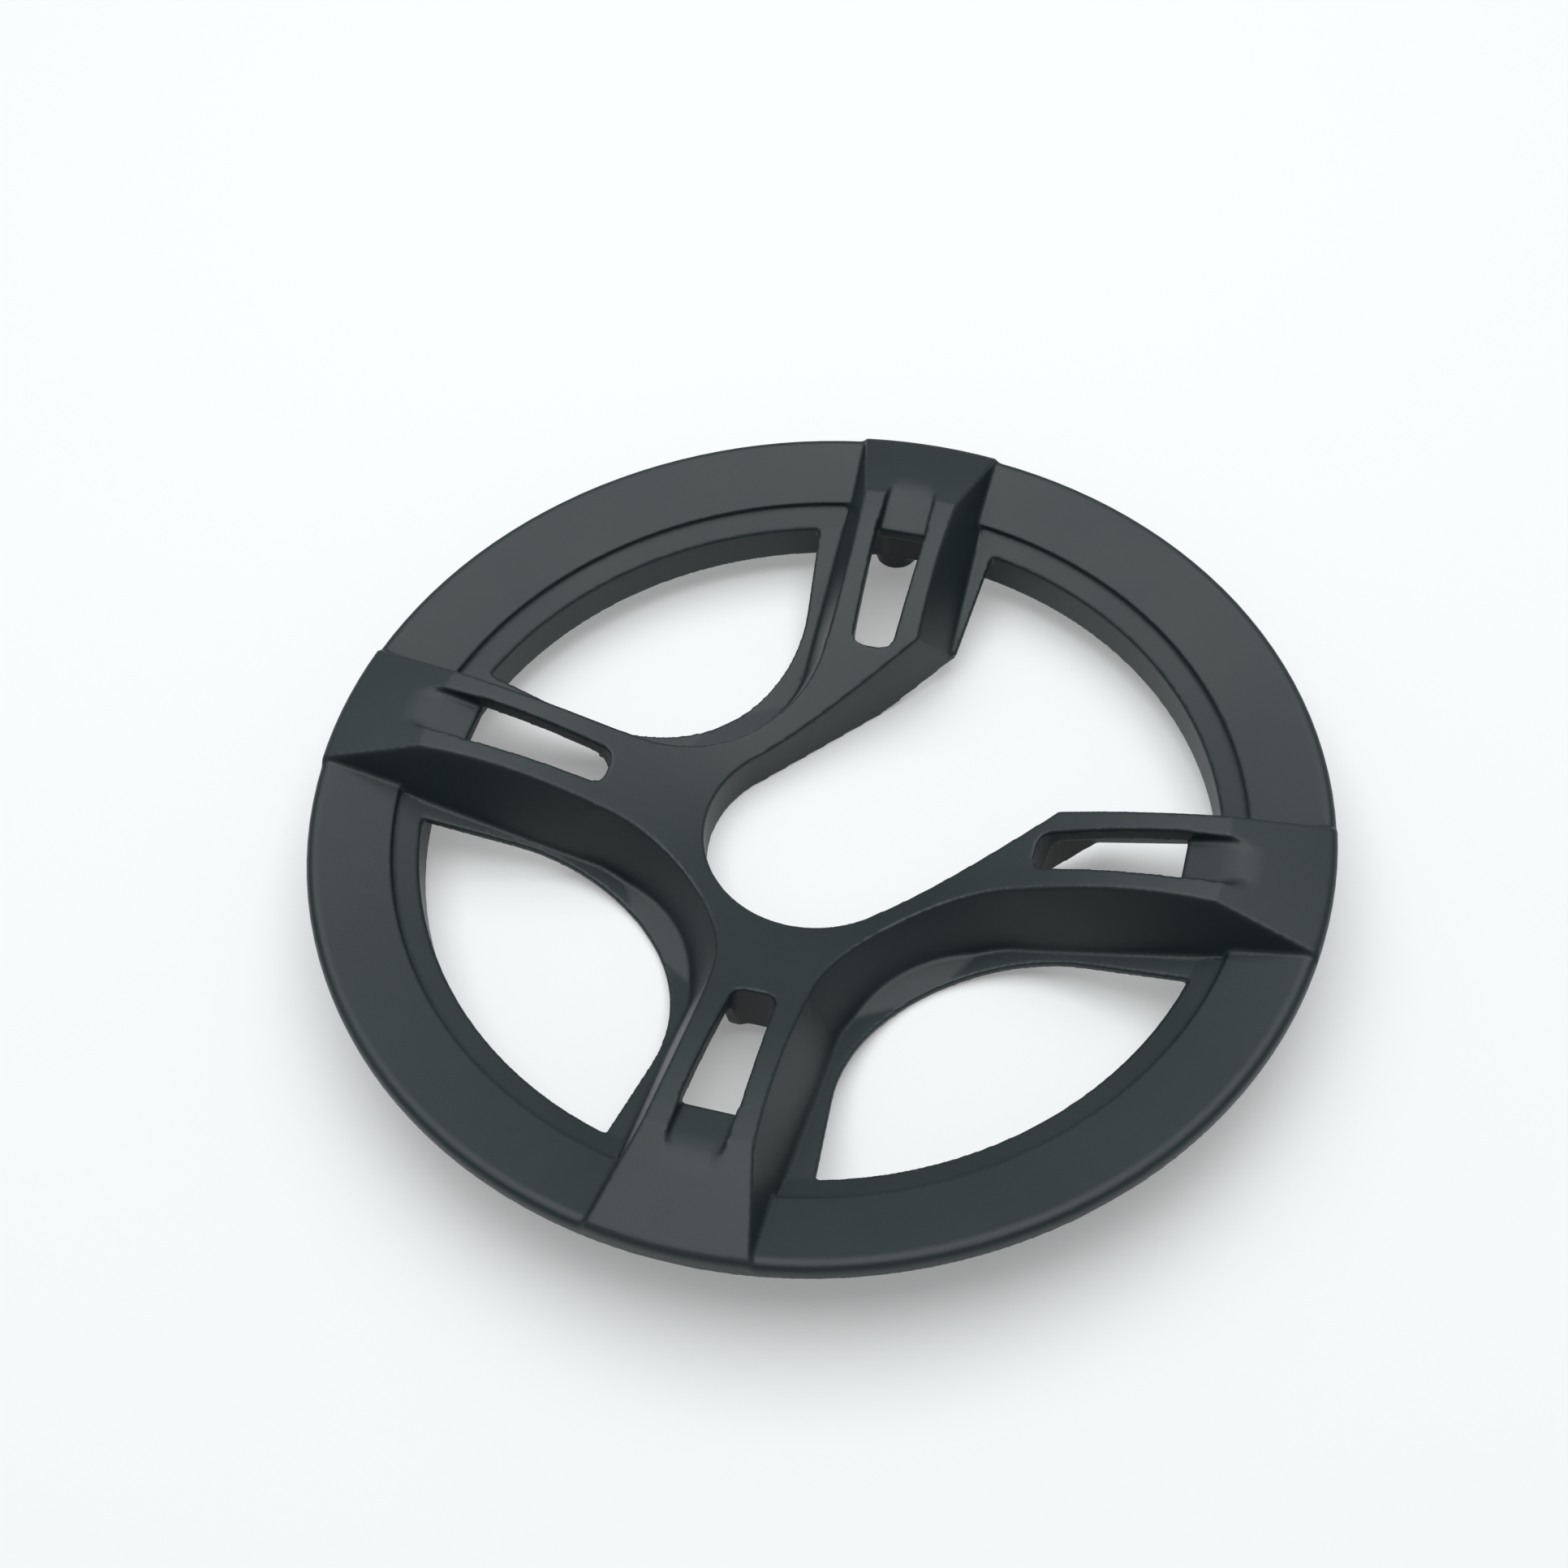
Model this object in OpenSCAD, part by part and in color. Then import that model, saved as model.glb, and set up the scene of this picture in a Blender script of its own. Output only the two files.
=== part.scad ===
// Bicycle chain guard: one injection-moulded disc in charcoal plastic.
// The hub lies low, four spokes climb outward to a sloping rim, and a U slot opens
// from the hub into the top window. The origin is the centre of the rim on the plane
// that the hub rests on, +Z is the show face and +Y is the way the U slot opens.

/* [Rim] */
// Outer radius of the rim
rim_r = 87; // [82:0.5:96]
// Height of the outer top edge above the resting plane
rim_top_z = 19.2; // [17:0.1:21]
// Height of the outer edge, from its top to its bottom
edge_depth = 3.6; // [3:0.1:5]
// Rounding of the outer top edge
edge_round = 1.5; // [0.5:0.1:2]
// Wall of the outer edge
edge_wall = 2.4; // [1.6:0.1:3]
// Width of the ledge, from the inner wall to the foot of the sloping flange
ledge_w = 4.3; // [3.2:0.1:7]
// Height where the sloping flange starts
flange_foot_z = 14.6; // [13.5:0.1:16]
// Wall of the flange
flange_wall = 2.2; // [1.5:0.1:3]
// Inner radius of the ledge and of the wall under it
ledge_r = 68.9; // [67:0.1:70]
// Height of the ledge
ledge_z = 12; // [11:0.1:13]
// Height of the bottom of the inner wall
ring_bottom_z = 5; // [3:0.1:7]
// Wall of the inner ring at its bottom
ring_wall = 2; // [1.5:0.1:3]
// How far the outer face of the inner wall leans out on its way up
ring_lean = 5.7; // [4:0.1:6.5]

/* [Dish] */
// Height of the top face at the round end of the U slot
hub_z = 7.8; // [6:0.1:9]
// Radius where the spokes start to level off
bend_r = 43; // [38:0.5:48]
// Height of the top face at that radius
bend_z = 16.5; // [15:0.1:18]
// Radius of the highest point of the spokes
peak_r = 69; // [64:0.5:73]
// Height of the highest point of the spokes
peak_z = 22.5; // [21:0.1:25]
// Thickness of the top skin
skin = 2.2; // [1.5:0.1:3]
// Thickness of the side walls
wall = 2; // [1.5:0.1:2.5]

/* [U slot] */
// Radius of the round end of the U slot
slot_r = 20; // [17:0.1:21]
// Angle at which each side of the U slot opens
slot_opening = 4.6; // [2:0.1:6]
// Distance from the centre to the knees where the slot meets the top window
knee_y = 43.2; // [41:0.1:46]

/* [Windows] */
// Angle between each window edge and the middle of its window
window_spread = 38.5; // [36:0.5:41]
// Distance from the centre to the nearest point of a side window
side_window_x = 34.5; // [33:0.1:37]
// Radius of the round end of a side window
side_window_r = 31; // [27:0.5:34]
// Distance from the centre to the nearest point of the bottom window
low_window_y = 34; // [33:0.1:37]
// Radius of the round end of the bottom window
low_window_r = 33; // [28:0.5:36]
// Thickness of the lip along the window edges
lip_wall = 1.5; // [1:0.1:2]
// Radius up to which the lip lies flat on the resting plane
lip_flat_r = 34.5; // [30:0.5:38]

/* [Spokes] */
// Half the width of a spoke's top face
ridge_half = 8; // [7:0.1:9]
// Radius at which that half width is measured
ridge_r = 50; // [46:0.5:56]
// Draft of the spoke's side walls
spoke_draft = 21.7; // [15:0.1:26]
// Angle at which each side wall opens towards the rim
spoke_flare = 6.8; // [4:0.1:9]
// Draft of the side walls on the rim
tip_draft = 20.3; // [14:0.1:26]
// Angle at which each side wall opens on the rim
tip_flare = 9.5; // [9.2:0.1:16]
// Radius of the round wall between two spokes
fillet_r = 27; // [22:0.5:32]
// Lean of the round wall between two spokes
fillet_lean = 30; // [24:0.5:36]

/* [Spoke slots] */
// Radius where a spoke slot starts
cut_start_r = 38; // [36.5:0.1:42]
// Distance between the outer end of a spoke slot and the inner wall of the rim
cut_end_gap = 6.4; // [5:0.1:12]
// Width of a spoke slot at its inner end
cut_inner_w = 7.5; // [6:0.1:8]
// Width of a spoke slot at its outer end
cut_outer_w = 9.4; // [8.4:0.1:10]
// Corner radius at the inner end of a spoke slot
cut_round = 2.2; // [1:0.1:2.8]
// Thickness of the walls beside a spoke slot
cut_wall = 1.6; // [1.2:0.1:2]
// Height of the bottom of the wall at the inner end of a spoke slot
cut_wall_z = 3.5; // [2:0.1:6]
// Depth of the collar along the sides of a spoke slot, below the top face
cut_collar = 3.2; // [2.6:0.1:6]
// How far past the inner wall of the rim the grooves of a spoke slot run out
groove_past = 2.6; // [0.5:0.1:5]
// How much narrower than the slot's end the sunk panel past it is
groove_step = 0.4; // [0.2:0.1:0.8]
// Depth of the grooves at the end of a spoke slot
groove_depth = 2.6; // [1.5:0.1:3]

/* [Bosses] */
// Distance between the screw bosses from left to right
boss_x = 107; // [103:0.5:110]
// Distance between the screw bosses from top to bottom
boss_y = 97; // [94:0.5:101]
// Radius of a screw boss
boss_r = 4; // [3.4:0.1:4.4]
// Radius of the pilot hole in a boss
pilot_r = 1.6; // [1.2:0.05:2]
// Depth of the pilot hole
pilot_depth = 12; // [8:0.5:14]
// Height of the lower end of a boss
boss_z = 2.5; // [1.5:0.1:4]

/* [Ribs] */
// Thickness of the ribs on the back
rib_wall = 1.4; // [1:0.1:2]
// Depth of the ribs beside a spoke slot, below the top face
rib_depth = 4.4; // [3:0.1:8]
// Height of the lower edge of the arm ribs
rib_z = 2.5; // [1:0.1:5]
// Distance from the centre line to the upper arm ribs
upper_rib_y = 17; // [12:0.5:24]
// Distance from the centre line to the lower arm ribs
lower_rib_y = 6; // [2:0.5:10]
// Radius of the inner ribs beside a spoke slot
inner_rib_r = 45; // [42:0.5:49]
// Distance between the outer ribs beside a spoke slot and its outer end
outer_rib_gap = 5.5; // [2:0.5:8]

/* [Hidden] */
plastic = "#3a4043";

// How far each cut runs past the solid that it cuts
overrun = 1;
// Smoothness of the large arcs and of the small ones
$fn = 96;
arc_steps = 6;
// Steps along the curved part of the spokes' top face
crown_steps = 6;
// The four spokes lie on the diagonals
spoke_angle = 45;

reach = 2 * rim_r;
flange_foot_r = ledge_r + ledge_w;
cut_end_r = ledge_r - cut_end_gap;
groove_end_r = ledge_r + groove_past;
outer_rib_r = cut_end_r - outer_rib_gap;
flange_slope = (rim_top_z - flange_foot_z) / (rim_r - flange_foot_r);
tip_slope = (rim_top_z - peak_z) / (rim_r - peak_r);
dish_slope = (bend_z - hub_z) / (bend_r - slot_r);
// Curve of the spokes' top face between the bend and the peak
crown_curve = (peak_z - bend_z - dish_slope * (peak_r - bend_r)) / pow(peak_r - bend_r, 2);
lip_slope = (ledge_z - lip_wall) / (ledge_r - lip_flat_r);
draft_slope = tan(spoke_draft) / cos(spoke_flare);
// Half the width of a spoke's top face at its highest point
peak_half = ridge_half + tan(spoke_flare) * (peak_r - ridge_r)
          - draft_slope * (peak_z - crown_z(ridge_r));
// The round wall leans out as it goes down, so its level sections are ellipses
fillet_long = fillet_r / cos(fillet_lean);
fillet_support = sqrt((pow(fillet_long, 2) + pow(fillet_r, 2)) / 2);
// The ellipse touches the top edges of both spokes beside it
fillet_x = (fillet_support + ridge_half) / sin(spoke_angle);
touch_r = norm([fillet_x * cos(spoke_angle), ridge_half]);
touch_z = crown_z(touch_r);
cut_end_half = cut_outer_w / 2;
groove_floor_z = crown_z(cut_end_r) - groove_depth;
groove_lean = atan((crown_z(groove_end_r) - groove_floor_z) / (groove_end_r - cut_end_r));

// Height of the top face of hub, spokes and spoke tips at a radius
function crown_z(r) =
    r <= bend_r ? bend_z - dish_slope * (bend_r - r)
    : r <= peak_r ? bend_z + dish_slope * (r - bend_r) + crown_curve * pow(r - bend_r, 2)
    : peak_z + tip_slope * (r - peak_r);

// Points of the rounded outer top edge, from the outer side up to a top line of a slope
function edge_arc(slope) = [
    for (i = [0 : arc_steps])
        let (a = i / arc_steps * (90 + atan(slope)))
        [rim_r - edge_round + edge_round * cos(a),
         rim_top_z - edge_round * (slope + sqrt(1 + slope * slope) - sin(a))]
];

// Points of the top face from the peak to the centre, lowered by a drop
function crown_line(drop) = concat(
    [for (i = [crown_steps : -1 : 0])
        let (r = bend_r + (peak_r - bend_r) * i / crown_steps)
        [r, crown_z(r) - drop]],
    [[slot_r - wall, crown_z(slot_r - wall) - drop],
     [0, crown_z(slot_r - wall) - drop]]);

// Section of the rim: inner wall, ledge, step, flange and rounded outer edge
module rim() {
    ring_top_z = flange_foot_z - flange_wall
               + flange_slope * (ledge_r + ring_wall + ring_lean - flange_foot_r);
    edge_inner_r = rim_r - edge_wall;
    edge_inner_z = flange_foot_z - flange_wall + flange_slope * (edge_inner_r - flange_foot_r);
    edge_bottom_z = rim_top_z - edge_depth;
    rotate_extrude()
        polygon(concat(
            [[ledge_r, ledge_z],
             [ledge_r, ring_bottom_z],
             [ledge_r + ring_wall, ring_bottom_z],
             [ledge_r + ring_wall + ring_lean, ring_top_z],
             [edge_inner_r, edge_inner_z],
             [edge_inner_r, edge_bottom_z],
             [rim_r, edge_bottom_z]],
            edge_arc(flange_slope),
            [[flange_foot_r, flange_foot_z],
             [flange_foot_r, ledge_z]]));
}

// Thin dish that remains as the lip along the window edges
module lip_dish() {
    rotate_extrude()
        polygon([
            [0, 0],
            [lip_flat_r, 0],
            [ledge_r + ring_wall, lip_slope * (ledge_r + ring_wall - lip_flat_r)],
            [ledge_r + ring_wall, ledge_z],
            [ledge_r, ledge_z],
            [lip_flat_r, lip_wall],
            [0, lip_wall]]);
}

// Space under the top face, from the middle of the lip and of the flange upward
module outer_form() {
    rotate_extrude()
        polygon(concat(
            [[0, lip_wall / 2],
             [lip_flat_r, lip_wall / 2],
             [ledge_r + ring_wall / 2, ledge_z - lip_wall / 2],
             [flange_foot_r, flange_foot_z - flange_wall / 2],
             [rim_r, rim_top_z - flange_wall]],
            edge_arc(tip_slope),
            crown_line(0)));
}

// Space lower than a drop below the top face, open at the bottom
module inner_form(drop) {
    inner_r = rim_r - edge_wall;
    rotate_extrude()
        polygon(concat(
            [[0, -overrun],
             [inner_r, -overrun],
             [inner_r, crown_z(inner_r) - drop]],
            crown_line(drop)));
}

// Block with one drafted face, which opens outward along a spoke
module drafted_block(r, half, z, flare, draft, inset) {
    translate([r, half, z])
        rotate([0, 0, flare])
            rotate([draft, 0, 0])
                translate([-r, -reach - inset, -reach])
                    cube([reach, reach, 2 * reach]);
}

// Space between the two drafted faces of a spoke
module between_faces(r, half, z, flare, draft, inset) {
    intersection() {
        drafted_block(r, half, z, flare, draft, inset);
        mirror([0, 1, 0])
            drafted_block(r, half, z, flare, draft, inset);
    }
}

// One spoke along +X, with its wider tip on the rim
module spoke_form(inset) {
    between_faces(ridge_r, ridge_half, crown_z(ridge_r), spoke_flare, spoke_draft, inset);
    between_faces(peak_r, peak_half, peak_z, tip_flare, tip_draft, inset);
}

// Round leaning wall between two spokes, for the window along +X
module fillet_cut(inset) {
    translate([fillet_x, 0, touch_z])
        rotate([0, -fillet_lean, 0])
            cylinder(r = fillet_r + inset, h = reach, center = true);
}

// Hub between the spokes, with a round wall towards each window
module hub_form(inset) {
    spread = (touch_r - fillet_x * cos(spoke_angle)) + tan(fillet_lean) * touch_z;
    difference() {
        cylinder(r1 = touch_r + spread, r2 = touch_r, h = touch_z + overrun);
        for (a = [180, 270, 360])
            rotate([0, 0, a])
                fillet_cut(inset);
    }
}

// Hub and four spokes, before their tops and bottoms are shaped
module hub_and_spokes(inset) {
    hub_form(inset);
    for (i = [0 : 3])
        rotate([0, 0, spoke_angle + 90 * i])
            spoke_form(inset);
}

// Outline of the U slot and the top window, grown by a margin
module slot_outline(grow) {
    r = slot_r + grow;
    knee = [r + knee_y * tan(slot_opening), knee_y];
    far = [knee[0] + (rim_r - knee_y) * tan(window_spread), rim_r];
    circle(r = r);
    intersection() {
        circle(r = ledge_r);
        polygon([[r, 0], knee, far, [-far[0], far[1]], [-knee[0], knee[1]], [-r, 0]]);
    }
}

// Outline of a window along +X: a round end that runs on into two straight edges
module window_outline(near, r) {
    centre = near + r;
    touch = [centre - r * sin(window_spread), r * cos(window_spread)];
    far = [rim_r, touch[1] + (rim_r - touch[0]) * tan(window_spread)];
    intersection() {
        circle(r = ledge_r);
        union() {
            translate([centre, 0])
                circle(r = r);
            polygon([touch, far, [far[0], -far[1]], [touch[0], -touch[1]]]);
        }
    }
}

// All openings that run straight through between the spokes
module windows() {
    translate([0, 0, -overrun])
        linear_extrude(height = peak_z + 2 * overrun) {
            slot_outline(0);
            window_outline(side_window_x, side_window_r);
            rotate([0, 0, 180])
                window_outline(side_window_x, side_window_r);
            rotate([0, 0, -90])
                window_outline(low_window_y, low_window_r);
        }
}

// Outline of a spoke slot along +X, with round inner corners and square outer ones
module cut_outline(grow, end_r) {
    start_half = cut_inner_w / 2 + grow;
    end_half = cut_end_half + grow;
    start_r = cut_start_r - grow;
    round_r = cut_round + grow;
    corner = [start_r + round_r, start_half - round_r];
    arc = [for (i = [0 : arc_steps])
        corner + round_r * [cos(180 - 90 * i / arc_steps), sin(180 - 90 * i / arc_steps)]];
    back = [for (i = [arc_steps : -1 : 0]) [arc[i][0], -arc[i][1]]];
    polygon(concat(arc, [[cut_end_r, end_half], [end_r, end_half]],
                   [[end_r, -end_half], [cut_end_r, -end_half]], back));
}

// Opening of a spoke slot through the skin
module spoke_slot() {
    translate([0, 0, -overrun])
        linear_extrude(height = peak_z + 2 * overrun)
            cut_outline(0, cut_end_r);
}

// Block over the sloping floor of the sunk panel past a spoke slot, lowered by a drop
module panel_block(width, drop) {
    translate([groove_end_r, -width / 2, crown_z(groove_end_r) - drop])
        rotate([0, -groove_lean, 0])
            translate([-reach, 0, 0])
                cube([reach, width, reach]);
}

// Sunk panel past a spoke slot, whose sides run out as two tapering grooves
module grooves() {
    intersection() {
        panel_block(cut_outer_w - groove_step, 0);
        translate([cut_end_r - overrun, -cut_outer_w, 0])
            cube([groove_end_r - cut_end_r + 2 * overrun, 2 * cut_outer_w, reach]);
    }
}

// Walls round a spoke slot, deep at its inner end and a collar along its sides,
// and the skin under its sunk panel
module slot_walls() {
    mid_ring_r = ledge_r + ring_wall / 2;
    difference() {
        translate([0, 0, cut_wall_z])
            linear_extrude(height = peak_z)
                difference() {
                    cut_outline(cut_wall, mid_ring_r);
                    cut_outline(0, mid_ring_r + overrun);
                }
        intersection() {
            inner_form(cut_collar);
            translate([cut_start_r + 1.5 * cut_round, -cut_outer_w, 0])
                cube([reach, 2 * cut_outer_w, reach]);
        }
    }
    intersection() {
        panel_block(cut_outer_w + cut_wall, skin);
        translate([cut_end_r, -cut_outer_w, 0])
            cube([mid_ring_r - cut_end_r, 2 * cut_outer_w, reach]);
    }
}

// Shallow ribs between a spoke slot and the spoke's side walls
module spoke_ribs() {
    start = cut_inner_w / 2 + cut_wall;
    difference() {
        for (r = [inner_rib_r, outer_rib_r])
            for (side = [-1, 1])
                translate([r - rib_wall / 2, side > 0 ? start : -reach - start, 0])
                    cube([rib_wall, reach, reach]);
        inner_form(rib_depth);
    }
}

// Ribs across the two arms beside the U slot
module arm_ribs() {
    for (y = [upper_rib_y, -lower_rib_y])
        translate([-lip_flat_r, y - rib_wall / 2, rib_z])
            cube([2 * lip_flat_r, rib_wall, reach]);
}

// Everything that the hollow back leaves standing
module standing_walls() {
    translate([0, 0, -2 * overrun])
        linear_extrude(height = reach)
            slot_outline(wall);
    rotate_extrude()
        translate([ledge_r, ring_bottom_z])
            square([ring_wall, reach]);
    for (i = [0 : 3])
        rotate([0, 0, spoke_angle + 90 * i]) {
            slot_walls();
            intersection() {
                spoke_ribs();
                translate([0, -reach / 2, 0])
                    cube([ledge_r, reach, reach]);
            }
        }
    arm_ribs();
}

// Hollow back of the hub and the spokes
module hollow_back() {
    difference() {
        intersection() {
            inner_form(skin);
            hub_and_spokes(wall);
        }
        standing_walls();
    }
}

// Places of the four screw bosses
module at_bosses() {
    for (sx = [-1, 1])
        for (sy = [-1, 1])
            translate([sx * boss_x / 2, sy * boss_y / 2, boss_z])
                children();
}

module screw_bosses() {
    boss_top_z = crown_z(norm([boss_x, boss_y]) / 2) - skin / 2;
    at_bosses()
        cylinder(r = boss_r, h = boss_top_z - boss_z);
}

module pilot_holes() {
    at_bosses()
        translate([0, 0, -overrun])
            cylinder(r = pilot_r, h = pilot_depth + overrun);
}

// The whole guard: rim, lip, hub and spokes, hollowed from the back
module guard() {
    color(plastic)
        difference() {
            union() {
                difference() {
                    union() {
                        rim();
                        lip_dish();
                        intersection() {
                            outer_form();
                            hub_and_spokes(0);
                        }
                    }
                    hollow_back();
                    windows();
                    for (i = [0 : 3])
                        rotate([0, 0, spoke_angle + 90 * i]) {
                            spoke_slot();
                            grooves();
                        }
                }
                screw_bosses();
            }
            pilot_holes();
        }
}

guard();
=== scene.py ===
# %% [markdown]
# # A moulded bicycle chain guard
# This lesson dresses one injection-moulded part: a charcoal disc that screws on beside a
# bicycle's chainring. Its form was built as an exact solid, and it arrives here as a frame
# that never moves. What is left for Blender is what the solid can't carry: edges that are
# softly rounded, as they come out of a mould, the grain of the plastic, light and a camera.

import math

import bmesh
import bpy
import numpy as np
from mathutils import Matrix, Vector


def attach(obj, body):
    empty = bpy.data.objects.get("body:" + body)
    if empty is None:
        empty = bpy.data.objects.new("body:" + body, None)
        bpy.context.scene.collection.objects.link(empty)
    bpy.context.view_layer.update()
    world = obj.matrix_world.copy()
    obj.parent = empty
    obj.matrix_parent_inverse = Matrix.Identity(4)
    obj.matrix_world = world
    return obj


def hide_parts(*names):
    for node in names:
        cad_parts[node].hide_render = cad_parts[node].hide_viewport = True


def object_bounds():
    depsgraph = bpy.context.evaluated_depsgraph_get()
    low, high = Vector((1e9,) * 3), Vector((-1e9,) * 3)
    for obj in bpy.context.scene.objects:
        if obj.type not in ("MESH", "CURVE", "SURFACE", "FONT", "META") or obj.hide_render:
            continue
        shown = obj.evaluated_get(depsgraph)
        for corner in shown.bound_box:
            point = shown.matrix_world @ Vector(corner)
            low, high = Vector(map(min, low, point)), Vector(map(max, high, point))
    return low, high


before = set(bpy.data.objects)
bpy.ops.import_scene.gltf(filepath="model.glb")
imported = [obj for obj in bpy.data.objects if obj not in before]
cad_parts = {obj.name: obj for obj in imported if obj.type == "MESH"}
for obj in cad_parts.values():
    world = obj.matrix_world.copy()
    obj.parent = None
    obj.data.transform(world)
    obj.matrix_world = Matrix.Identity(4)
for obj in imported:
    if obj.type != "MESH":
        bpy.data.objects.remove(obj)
cad_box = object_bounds()
guard_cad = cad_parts["guard"]
MM = 0.001
print("The solid measures", [round((b - a) / MM, 1) for a, b in zip(*cad_box)], "mm")

# %% [markdown]
# ## The camera
# The photograph looks down on the disc from one side, at about 52 degrees above the table.
# A camera is fixed by where it looks, from which direction, from how far, and how long its
# lens is. Its matrix is made here from three unit vectors: to the right, up, and backward.
# That is plainer than rotation angles, because each column of the matrix has a meaning.

# %% Place the camera at the photograph's angle
PHOTO_PX = 1932
FOCAL_PX = 2625
SENSOR_MM = 36
CAMERA_AZIMUTH = math.radians(63.96)
CAMERA_ELEVATION = math.radians(52.49)
CAMERA_ROLL = math.radians(-4.35)
CAMERA_DISTANCE = 372 * MM
CAMERA_TARGET = Vector((-9.22, -1.45, 12.0)) * MM


def viewing_axes(azimuth, elevation, roll):
    """Right, up and forward of a camera that looks along +Y at azimuth 0."""
    forward = Vector((-math.sin(azimuth) * math.cos(elevation),
                      math.cos(azimuth) * math.cos(elevation),
                      -math.sin(elevation)))
    level = Vector((math.cos(azimuth), math.sin(azimuth), 0))
    upright = level.cross(forward)
    right = math.cos(roll) * level + math.sin(roll) * upright
    up = math.cos(roll) * upright - math.sin(roll) * level
    return right, up, forward


right, up, forward = viewing_axes(CAMERA_AZIMUTH, CAMERA_ELEVATION, CAMERA_ROLL)
camera_data = bpy.data.cameras.new("photo_camera")
camera_data.sensor_width = SENSOR_MM
camera_data.lens = FOCAL_PX / PHOTO_PX * SENSOR_MM
camera = bpy.data.objects.new("photo_camera", camera_data)
camera.matrix_world = Matrix.Translation(CAMERA_TARGET - forward * CAMERA_DISTANCE) @ (
    Matrix((right, up, -forward)).transposed().to_4x4())
bpy.context.collection.objects.link(camera)
bpy.context.scene.camera = camera
print("The camera stands at", [round(c / MM) for c in camera.matrix_world.translation], "mm")

# %% [markdown]
# ## Soft edges
# A sharp edge in a solid catches no light, but every moulded edge has a small radius that
# shows as a thin bright line. There are two common ways to get it: a Bevel modifier, which
# needs clean edge loops, or a Remesh, which rebuilds the whole skin from small even cells
# and then lets a few rounds of smoothing melt the edges. The solid comes as loose triangles
# with long thin faces, where a bevel would tear, so the remesh is the safer way. The cells
# are much smaller than the thinnest wall. No detail here is scattered or follows a path, so
# there is no work for Geometry Nodes: the whole part is this one skin. It is made in steps:
# merge the triangles, close small faults, rebuild, move some points, and melt the edges.

# %% A helper that bakes an object's modifiers into a plain mesh
def baked(source, name):
    """A new object at the origin that holds the source's shape with its modifiers applied."""
    depsgraph = bpy.context.evaluated_depsgraph_get()
    mesh = bpy.data.meshes.new_from_object(source.evaluated_get(depsgraph))
    mesh.name = name
    piece = bpy.data.objects.new(name, mesh)
    bpy.context.collection.objects.link(piece)
    return piece


# %% Merge the loose triangles of a copy of the solid
MERGE_DISTANCE = 0.001 * MM

draft = bpy.data.objects.new("draft", guard_cad.data.copy())
bpy.context.collection.objects.link(draft)
loose = bmesh.new()
loose.from_mesh(draft.data)
bmesh.ops.remove_doubles(loose, verts=loose.verts, dist=MERGE_DISTANCE)
bmesh.ops.recalc_face_normals(loose, faces=loose.faces)
open_edges = sum(1 for e in loose.edges if len(e.link_faces) != 2)
print("Merged copy:", len(loose.verts), "points,", open_edges, "open edges")

# %% [markdown]
# ## Close the pinholes
# Where a spoke's side wall meets the ledge and the step, the solid has a pinhole of about a
# millimetre into its hollow back. The real part has none. A small block inside the wall
# fills it: overlapping closed forms become one skin when the cells are rebuilt. The block
# leans as the wall does. There are two on each spoke, so one block is placed eight times by
# turning it about the disc's axis and mirroring its place and its lean.

# %% Put a block into each corner
PLUG_ALONG = 71.7 * MM
PLUG_ACROSS = 12.05 * MM
PLUG_Z = 12.55 * MM
PLUG_SIZE = Vector((2.4, 1.6, 1.5)) * MM
WALL_LEAN = math.radians(22)
SPOKE_DEGREES = (45, 135, 225, 315)

stretch = Matrix.Diagonal((*PLUG_SIZE, 1))
for degrees in SPOKE_DEGREES:
    turn = Matrix.Rotation(math.radians(degrees), 4, "Z")
    for side in (-1, 1):
        place = Matrix.Translation((PLUG_ALONG, side * PLUG_ACROSS, PLUG_Z))
        lean = Matrix.Rotation(side * WALL_LEAN, 4, "X")
        bmesh.ops.create_cube(loose, size=1, matrix=turn @ place @ lean @ stretch)
loose.to_mesh(draft.data)
loose.free()
print("With the blocks:", len(draft.data.vertices), "points")

# %% [markdown]
# ## Rebuild
# The Remesh modifier in voxel mode lays a grid of cells over the closed form and wraps a
# new skin of small even faces round it. The cell size is a trade: half the size gives four
# times as many points, and edges that are twice as crisp. This one keeps the grooves sharp.

# %% Rebuild the skin from small cells
CELL = 0.34 * MM

remesh = draft.modifiers.new("cells", "REMESH")
remesh.mode = "VOXEL"
remesh.voxel_size = CELL
remesh.use_smooth_shade = True
cells = baked(draft, "cells")
bpy.data.objects.remove(draft)
print("Cells:", len(cells.data.vertices), "points")

# %% [markdown]
# ## Panels that fade out
# Past each spoke slot a sunk panel rises until it meets the spoke's tip. In the solid the
# two planes meet in a crease, but in the mould they run into each other in a long soft
# curve. A smooth minimum makes that curve: where the two heights differ by less than a
# set amount, the surface is lowered a little, and by a quarter of that amount right at the
# crease. The four spokes lie on the diagonals, so one pair of formulas finds the way along a
# spoke and across it for all four. Arrays do this much faster than a loop over the points.

# %% Lower the crease at the outer end of each sunk panel
CREASE_R = 71.5 * MM
CREASE_SLOPES = 0.47
FADE = 1.8 * MM
PANEL_HALF = 4.5 * MM
SIDE_FADE = 1.6 * MM
TOP_SIDE_Z = 20.2 * MM

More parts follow.
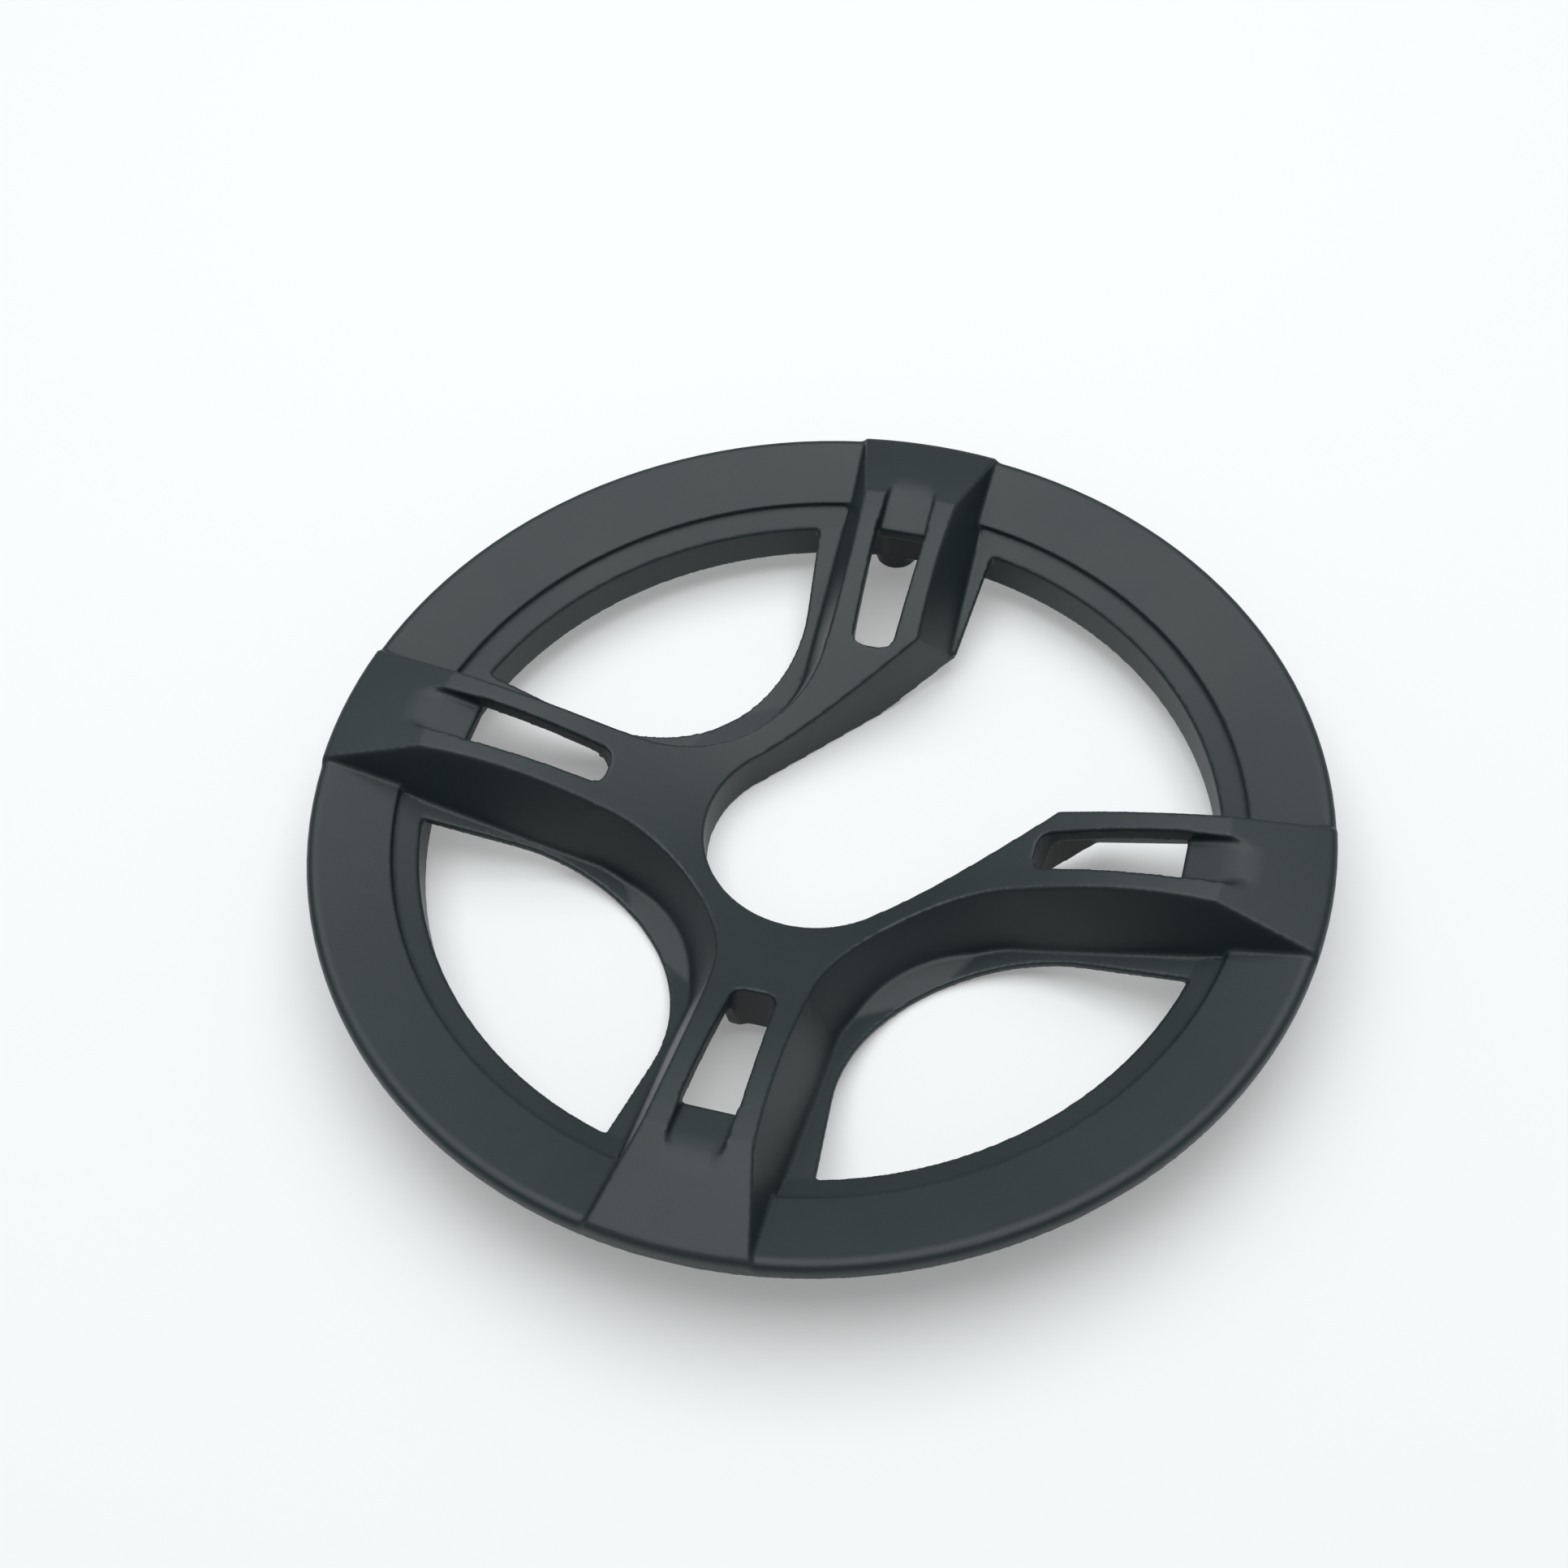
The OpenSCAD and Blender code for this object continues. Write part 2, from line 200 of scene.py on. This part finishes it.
points = np.empty(len(cells.data.vertices) * 3)
cells.data.vertices.foreach_get("co", points)
points = points.reshape(-1, 3)
along = (np.abs(points[:, 0]) + np.abs(points[:, 1])) / math.sqrt(2)
across = np.abs(np.abs(points[:, 0]) - np.abs(points[:, 1])) / math.sqrt(2)
height_gap = CREASE_SLOPES * np.abs(along - CREASE_R)
drop = np.clip(FADE - height_gap, 0, None) ** 2 / (4 * FADE)
panel_share = np.clip((PANEL_HALF - across) / SIDE_FADE, 0, 1) * (points[:, 2] > TOP_SIDE_Z)
points[:, 2] -= drop * panel_share
print("Creases lowered by up to", round((drop * panel_share).max() / MM, 2), "mm")

# %% [markdown]
# ## A ledge that slopes with the flange
# The photograph's light tells how the ledge inside the flange lies. It is bright on the far
# side and dark on the near side, as the flange is, so it slopes with the flange, and the
# step between the two is low. The solid has it level. The points of the ledge between the
# spokes are lifted onto a cone that starts at the ledge's inner edge. The points of the
# step above them are lifted too, but less and less towards its top. If they weren't, they
# would all end up on the cone, and the crushed cells would show as wrinkles.

# %% Tilt the ledge
LEDGE_R = 68.9 * MM
LEDGE_Z = 12.0 * MM
LEDGE_RISE = 0.4
STEP_R = 73.5 * MM
STEP_TOP_Z = 14.6 * MM
EDGE_SLACK = 0.3 * MM
SPOKE_FOOT_HALF = 12.6 * MM
FOOT_FADE = 0.6 * MM

radius = np.hypot(points[:, 0], points[:, 1])
ledge_share = ((radius < STEP_R) * (points[:, 2] > LEDGE_Z - EDGE_SLACK)
               * np.clip((across - SPOKE_FOOT_HALF) / FOOT_FADE, 0, 1))
step_share = np.clip((STEP_TOP_Z - points[:, 2]) / (STEP_TOP_Z - LEDGE_Z), 0, 1)
lift = LEDGE_RISE * np.clip(radius - LEDGE_R, 0, None) * step_share * ledge_share
points[:, 2] += lift
print("Ledge lifted by up to", round(lift.max() / MM, 2), "mm")

# %% [markdown]
# ## Straight feet under the slots
# At the inner end of each spoke slot a wall goes deep into the hollow back. In the solid it
# turns round the slot's corners and ends as a small tab on each side, but the photograph
# shows a straight lower edge. The tabs are drawn up to the short collar along the slot.

# %% Draw up the tabs
WALL_KEPT_R = 38.8 * MM
WALL_GONE_R = 40.2 * MM
TAB_END_R = 41.8 * MM
COLLAR_Z = 12.4 * MM
WALL_FOOT_Z = 3.3 * MM
SLOT_WALL_HALF = 5.7 * MM
STUB_SHARE = 0.06

on_tab = ((along > WALL_KEPT_R) & (along < TAB_END_R) & (across < SLOT_WALL_HALF)
          & (points[:, 2] > WALL_FOOT_Z) & (points[:, 2] < COLLAR_Z))
kept_depth = np.clip((WALL_GONE_R - along) / (WALL_GONE_R - WALL_KEPT_R), STUB_SHARE, 1)
drawn_up = (COLLAR_Z - points[:, 2]) * (1 - kept_depth) * on_tab
points[:, 2] += drawn_up
print("Tabs drawn up by up to", round(drawn_up.max() / MM, 2), "mm")

# %% Give the moved points back to the mesh
cells.data.vertices.foreach_set("co", points.ravel())
cells.data.update()
print("Height now", round((points[:, 2].max() - points[:, 2].min()) / MM, 2), "mm")

# %% [markdown]
# ## Melt, thin out, even out
# Three modifiers finish the skin. Smooth melts the edges. Decimate gives back the faces
# that the flat areas don't need. What it leaves are large and small faces side by side, and
# plain smooth shading would smear the small ones' direction over the large ones. Weighted
# Normal lets the large faces decide instead, so that flat areas look flat.

# %% Finish the skin
SMOOTH_FACTOR = 0.5
SMOOTH_ROUNDS = 7
KEPT_SHARE = 0.14

melt = cells.modifiers.new("melt", "SMOOTH")
melt.factor = SMOOTH_FACTOR
melt.iterations = SMOOTH_ROUNDS
thin = cells.modifiers.new("thin", "DECIMATE")
thin.ratio = KEPT_SHARE
even = cells.modifiers.new("even", "WEIGHTED_NORMAL")
even.mode = "FACE_AREA"
guard = baked(cells, "guard_skin")
bpy.data.objects.remove(cells)
guard.data.calc_loop_triangles()
print("Soft skin:", len(guard.data.loop_triangles), "triangles")

# %% [markdown]
# ## Moulded plastic
# The guard is charcoal plastic with a fine spark-eroded grain. Up close it is a mottle of
# tiny pits, and from further off it only makes the shine broad and even. The grain goes in a
# node group of its own, because a group can be reused with other values: it puts out a
# height for the Bump node and a mask that varies colour and roughness slightly. Handling
# also leaves faint cloudy marks that are much larger than the grain.

# %% A node group for the grain and the cloudy marks
GRAIN_SCALE = 2600.0
GRAIN_DETAIL = 3.0
CLOUD_SCALE = 28.0
CLOUD_DETAIL = 4.0


def new_group(name, inputs, outputs):
    """An empty shader group with float sockets, and its input and output nodes."""
    tree = bpy.data.node_groups.new(name, "ShaderNodeTree")
    for socket_name, value in inputs:
        socket = tree.interface.new_socket(socket_name, in_out="INPUT",
                                           socket_type="NodeSocketFloat")
        socket.default_value = value
    for socket_name in outputs:
        tree.interface.new_socket(socket_name, in_out="OUTPUT", socket_type="NodeSocketFloat")
    return tree, tree.nodes.new("NodeGroupInput"), tree.nodes.new("NodeGroupOutput")


def noise_node(tree, coordinates, scale_socket, detail):
    """A noise texture on the given coordinates."""
    noise = tree.nodes.new("ShaderNodeTexNoise")
    noise.inputs["Detail"].default_value = detail
    tree.links.new(coordinates, noise.inputs["Vector"])
    tree.links.new(scale_socket, noise.inputs["Scale"])
    return noise.outputs["Fac"]


def moulded_grain():
    """Fine pits and cloudy marks on Object coordinates."""
    tree, entry, leave = new_group(
        "moulded grain", [("Grain Scale", GRAIN_SCALE), ("Cloud Scale", CLOUD_SCALE)],
        ["Pits", "Clouds"])
    place = tree.nodes.new("ShaderNodeTexCoord").outputs["Object"]
    pits = noise_node(tree, place, entry.outputs["Grain Scale"], GRAIN_DETAIL)
    clouds = noise_node(tree, place, entry.outputs["Cloud Scale"], CLOUD_DETAIL)
    tree.links.new(pits, leave.inputs["Pits"])
    tree.links.new(clouds, leave.inputs["Clouds"])
    return tree


grain_group = moulded_grain()
print("Grain group outputs:", [s.name for s in grain_group.interface.items_tree
                               if s.in_out == "OUTPUT"])

# %% [markdown]
# ## From grain to plastic
# The clouds mix two close charcoals and vary the roughness. A noise texture keeps mostly to
# the middle of its range, so that middle is stretched over the whole range first. The pits
# drive the Bump node, which tilts the light without moving the surface.

# %% The plastic itself
CHARCOAL = (0.010, 0.019, 0.020, 1)
CHARCOAL_PALE = (0.015, 0.025, 0.026, 1)
ROUGHNESS_RANGE = (0.42, 0.5)
PLASTIC_IOR = 1.46
PIT_DEPTH = 0.03 * MM
PIT_STRENGTH = 0.5
NOISE_RANGE = (0.35, 0.65)


def spread(tree, noise, low, high):
    """The middle of a noise texture's range, mapped onto the range from low to high."""
    node = tree.nodes.new("ShaderNodeMapRange")
    node.inputs["From Min"].default_value = NOISE_RANGE[0]
    node.inputs["From Max"].default_value = NOISE_RANGE[1]
    node.inputs["To Min"].default_value = low
    node.inputs["To Max"].default_value = high
    tree.links.new(noise, node.inputs["Value"])
    return node.outputs["Result"]


def moulded_plastic():
    """Charcoal plastic with grain, cloudy marks and a broad soft shine."""
    material = bpy.data.materials.new("charcoal_plastic")
    material.use_nodes = True
    tree = material.node_tree
    shader = tree.nodes["Principled BSDF"]
    shader.inputs["IOR"].default_value = PLASTIC_IOR
    grain = tree.nodes.new("ShaderNodeGroup")
    grain.node_tree = grain_group
    grain.inputs["Grain Scale"].default_value = GRAIN_SCALE
    grain.inputs["Cloud Scale"].default_value = CLOUD_SCALE

    colour = tree.nodes.new("ShaderNodeMix")
    colour.data_type = "RGBA"
    colour.inputs["A"].default_value = CHARCOAL
    colour.inputs["B"].default_value = CHARCOAL_PALE
    tree.links.new(spread(tree, grain.outputs["Clouds"], 0, 1), colour.inputs["Factor"])
    tree.links.new(colour.outputs["Result"], shader.inputs["Base Color"])
    tree.links.new(spread(tree, grain.outputs["Clouds"], *ROUGHNESS_RANGE),
                   shader.inputs["Roughness"])

    bump = tree.nodes.new("ShaderNodeBump")
    bump.inputs["Distance"].default_value = PIT_DEPTH
    bump.inputs["Strength"].default_value = PIT_STRENGTH
    tree.links.new(grain.outputs["Pits"], bump.inputs["Height"])
    tree.links.new(bump.outputs["Normal"], shader.inputs["Normal"])
    return material


plastic = moulded_plastic()
guard.data.materials.clear()
guard.data.materials.append(plastic)
for slot in guard_cad.material_slots:
    slot.material = plastic
print("Plastic nodes:", len(plastic.node_tree.nodes))

# %% [markdown]
# ## Hand the skin to the frame
# The skin rides on the part's only body and takes the place of the plain solid, whose shape
# stays as it was and isn't rendered.

# %% The skin stands for the solid
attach(guard, "root")
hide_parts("guard")

# %% [markdown]
# ## The table and the light
# The photograph is a plain studio shot: a white sheet, one large soft light overhead and a
# little behind the disc, and white all round. A large lamp gives soft shadows, because each
# point of the shadow still sees a part of it. The sheet is pale, and it could be made white
# with more light, but that would bleach the plastic too. A Light Path node adds a share of
# plain white for the camera and for reflections alone, so that the sheet looks white and
# keeps a soft shadow.

# %% The white sheet
SHEET_SIZE = 6.0
SHEET_GAP = 0.02 * MM
SHEET_WHITE = (0.93, 0.94, 0.945, 1)
SHEET_ROUGHNESS = 0.9
SHEET_SHINE = 0.1
SEEN_WHITE_SHARE = 0.25


def seen_rays(tree):
    """1 for rays from the camera, from a shiny surface or through glass, and else 0."""
    path = tree.nodes.new("ShaderNodeLightPath")
    total = path.outputs["Is Camera Ray"]
    for ray in ("Is Glossy Ray", "Is Transmission Ray"):
        either = tree.nodes.new("ShaderNodeMath")
        either.operation = "MAXIMUM"
        tree.links.new(total, either.inputs[0])
        tree.links.new(path.outputs[ray], either.inputs[1])
        total = either.outputs["Value"]
    return total


def sheet_material():
    """Pale matt paper, with a share of plain white where it is seen."""
    material = bpy.data.materials.new("sheet_white")
    material.use_nodes = True
    tree = material.node_tree
    paper = tree.nodes["Principled BSDF"]
    paper.inputs["Base Color"].default_value = SHEET_WHITE
    paper.inputs["Roughness"].default_value = SHEET_ROUGHNESS
    paper.inputs["Specular IOR Level"].default_value = SHEET_SHINE
    white = tree.nodes.new("ShaderNodeEmission")
    share = tree.nodes.new("ShaderNodeMath")
    share.operation = "MULTIPLY"
    share.inputs[1].default_value = SEEN_WHITE_SHARE
    tree.links.new(seen_rays(tree), share.inputs[0])
    blend = tree.nodes.new("ShaderNodeMixShader")
    tree.links.new(share.outputs["Value"], blend.inputs["Fac"])
    tree.links.new(paper.outputs["BSDF"], blend.inputs[1])
    tree.links.new(white.outputs["Emission"], blend.inputs[2])
    tree.links.new(blend.outputs["Shader"], tree.nodes["Material Output"].inputs["Surface"])
    return material


def white_sheet():
    """A large flat sheet just under the guard."""
    half = SHEET_SIZE / 2
    mesh = bpy.data.meshes.new("sheet")
    mesh.from_pydata([(-half, -half, 0), (half, -half, 0), (half, half, 0), (-half, half, 0)],
                     [], [(0, 1, 2, 3)])
    sheet = bpy.data.objects.new("sheet", mesh)
    sheet.location.z = cad_box[0][2] - SHEET_GAP
    bpy.context.collection.objects.link(sheet)
    mesh.materials.append(sheet_material())
    return sheet


white_sheet()

# %% [markdown]
# ## How much light from where
# The world lights from all sides and fills the shadows. The lamp gives the shine on the far
# side of the flange and the shade on the near side. The stronger the world is against the
# lamp, the flatter the disc looks.

# %% Pale surroundings
WORLD_COLOUR = (0.96, 0.98, 1.0, 1)
WORLD_STRENGTH = 0.27

world = bpy.data.worlds.new("studio")
world.use_nodes = True
world.node_tree.nodes["Background"].inputs["Color"].default_value = WORLD_COLOUR
world.node_tree.nodes["Background"].inputs["Strength"].default_value = WORLD_STRENGTH
bpy.context.scene.world = world
bpy.context.scene.view_settings.view_transform = "Standard"
print("The surroundings shine at", WORLD_STRENGTH)

# %% One large soft lamp overhead, a little behind the disc
LAMP_PLACE = (-0.18, 0.09, 0.95)
LAMP_SIZE = 1.2
LAMP_WATTS = 11.0
LAMP_COLOUR = (0.965, 1, 1)


def soft_lamp(name, place, size, watts, colour):
    """A square area lamp that faces the middle of the disc."""
    data = bpy.data.lights.new(name, "AREA")
    data.size = size
    data.energy = watts
    data.color = colour
    lamp = bpy.data.objects.new(name, data)
    lamp.location = place
    lamp.rotation_euler = (-Vector(place)).to_track_quat("-Z", "Y").to_euler()
    bpy.context.collection.objects.link(lamp)
    return lamp


soft_lamp("overhead_lamp", LAMP_PLACE, LAMP_SIZE, LAMP_WATTS, LAMP_COLOUR)
